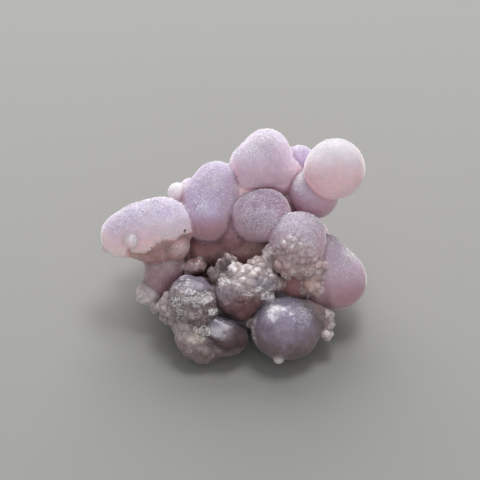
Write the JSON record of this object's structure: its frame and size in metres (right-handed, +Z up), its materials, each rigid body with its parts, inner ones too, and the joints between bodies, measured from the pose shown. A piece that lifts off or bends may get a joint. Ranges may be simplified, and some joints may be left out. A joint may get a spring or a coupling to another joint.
{
  "type": "botryoidal chalcedony specimen",
  "caption": "Hand specimen of grape-like chalcedony: grown-together round lobes with sugary crusts between them, resting on its flat root.",
  "frame": {"origin": "centre of the footprint's box, on the plane that the stone rests on", "axes": "+X to the right along the stone's longest side, +Y from the crusted front to the back, +Z up"},
  "size_m": [0.03, 0.0251, 0.0188],
  "materials": {
    "chalcedony": "waxy translucent lilac to pink, with white sugary crusts"
  },
  "bodies": {
    "root": {"chalcedony_cluster": "chalcedony"}
  },
  "joints": []
}
